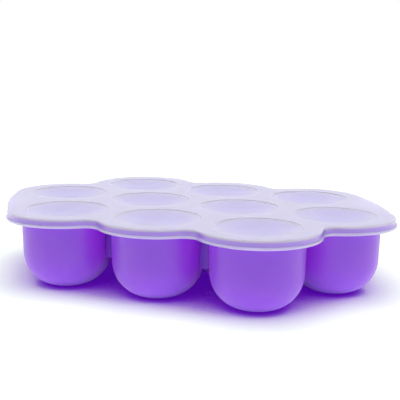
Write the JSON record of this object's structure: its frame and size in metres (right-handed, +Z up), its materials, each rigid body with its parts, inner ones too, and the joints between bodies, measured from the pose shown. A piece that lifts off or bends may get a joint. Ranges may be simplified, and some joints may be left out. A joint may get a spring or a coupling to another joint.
{
  "type": "baby food freezer tray",
  "caption": "Soft freezer tray of round-bottomed cups in close-packed rows, hung from a scalloped deck, with a stiff clip-on lid dished over each cup.",
  "frame": {"origin": "on the floor under the middle of the tray", "axes": "+Z up, +X along the rows of cups, -Y towards the front row"},
  "size_m": [0.26, 0.1814, 0.047],
  "materials": {
    "tray_silicone": "satin moulded silicone",
    "lid_plastic": "frosted translucent"
  },
  "bodies": {
    "tray": {"tray": "tray_silicone"},
    "lid": {"lid": "lid_plastic"}
  },
  "joints": [
    {"name": "lid_lift", "type": "slide", "parent": "tray", "child": "lid", "axis": [0, 0, 1], "range_m": [0, 0.06]}
  ]
}
